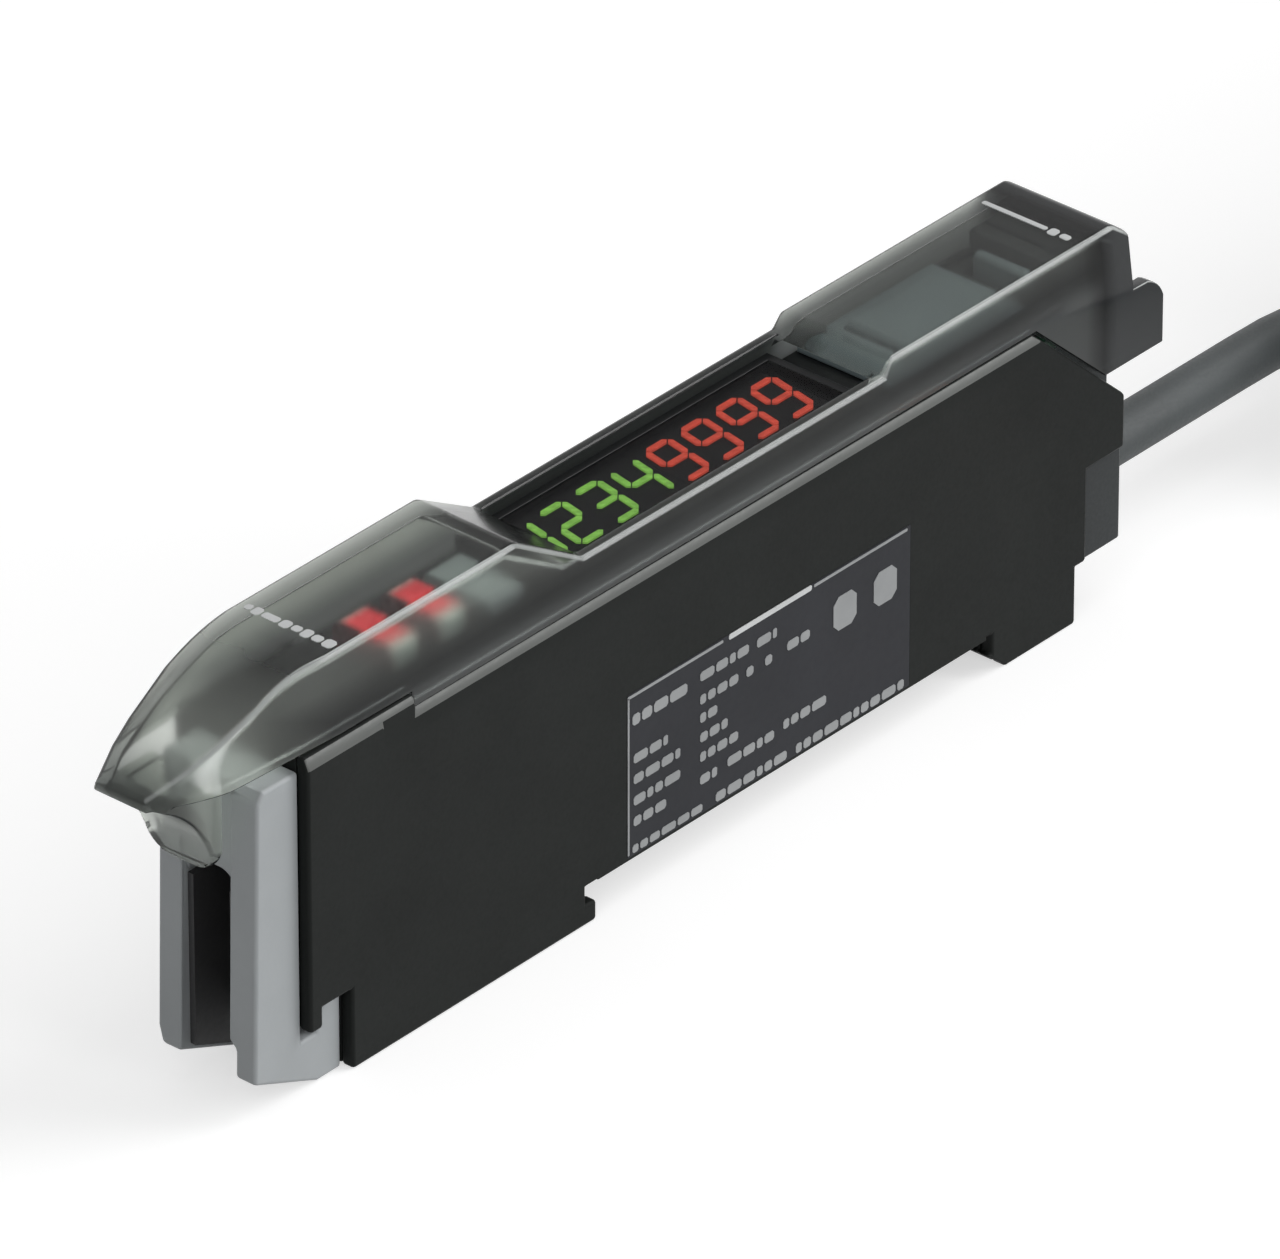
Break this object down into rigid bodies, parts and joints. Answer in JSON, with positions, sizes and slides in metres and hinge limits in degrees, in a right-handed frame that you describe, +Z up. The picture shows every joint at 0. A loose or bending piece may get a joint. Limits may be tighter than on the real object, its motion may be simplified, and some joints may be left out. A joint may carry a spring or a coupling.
{
  "type": "laser sensor amplifier",
  "caption": "Slim rail-mounted laser sensor amplifier with a smoke-clear hinged dust cover, a lit number display, keys under the cover, a sensor plug slot in front and a cable behind.",
  "frame": {"origin": "centre of the part's box, seen from above, at the level of its feet; the cable outside is not counted", "axes": "+X from the sensor plug at the front to the cable at the rear, +Y to the far side of the housing, +Z up from the rail to the display"},
  "size_m": [0.1959, 0.0339, 0.0263],
  "materials": {
    "black_housing": "satin",
    "label_film": "satin",
    "grey_frame": "satin",
    "socket_black": "matte",
    "contact_brass": "polished",
    "rear_block_grey": "satin",
    "grommet_rubber": "matte",
    "deck_black": "satin",
    "window_tint": "gloss",
    "display_grey": "matte",
    "digit_green": "emissive",
    "digit_red": "emissive",
    "lamp_red": "gloss",
    "key_grey": "satin",
    "bezel_grey": "satin",
    "switch_black": "matte",
    "knob_grey": "satin",
    "switch_metal": "satin",
    "board_green": "satin",
    "chip_black": "matte",
    "capacitor_tan": "satin",
    "coil_grey": "satin",
    "connector_white": "satin",
    "cover_smoke": "gloss",
    "cable_grey": "satin",
    "tie_black": "satin",
    "core_brown": "satin",
    "core_blue": "satin",
    "core_black": "satin",
    "core_white": "satin",
    "copper": "polished"
  },
  "bodies": {
    "base": {"main_case": "black_housing", "side_cover": "black_housing", "rating_label": "label_film", "front_frame": "grey_frame", "sensor_socket": "socket_black", "socket_contacts": "contact_brass", "rear_block": "rear_block_grey", "cable_grommet": "grommet_rubber", "top_deck": "deck_black", "display_window": "window_tint", "display_block_green": "display_grey", "display_block_red": "display_grey", "green_digits": "digit_green", "red_digits": "digit_red", "output_lamp_front": "lamp_red", "output_lamp_rear": "lamp_red", "key_bezel": "bezel_grey", "slide_switch": "switch_black", "key_switches": "switch_metal", "display_board": "board_green", "main_board": "board_green", "board_header": "chip_black", "processor": "chip_black", "analog_chip": "chip_black", "capacitors": "capacitor_tan", "power_coil": "coil_grey", "cable_connector": "connector_white", "cable": "cable_grey", "cable_hank": "cable_grey", "cable_tie": "tie_black", "core_brown": "core_brown", "core_blue": "core_blue", "core_black": "core_black", "core_white": "core_white", "core_tips": "copper"},
    "lid": {"dust_cover": "cover_smoke"},
    "set_button": {"set_key": "key_grey"},
    "rocker": {"rocker_key": "key_grey"},
    "selector": {"slide_knob": "knob_grey"}
  },
  "joints": [
    {"name": "cover_hinge", "type": "hinge", "parent": "base", "child": "lid", "pos_m": [0.0392, 0, 0.0173], "axis": [0, 1, 0], "range_deg": [0, 110]},
    {"name": "set_press", "type": "slide", "parent": "base", "child": "set_button", "axis": [0, 0, -1], "range_m": [0, 0.00025], "stiffness_N_per_m": 2000, "springref_m": -0.0002},
    {"name": "rocker_tilt", "type": "hinge", "parent": "base", "child": "rocker", "pos_m": [0.0255, 0, 0.02075], "axis": [0, 1, 0], "range_deg": [-3.5, 3.5], "stiffness_Nm_per_rad": 0.02},
    {"name": "selector_slide", "type": "slide", "parent": "base", "child": "selector", "axis": [-1, 0, 0], "range_m": [0, 0.0008]}
  ]
}
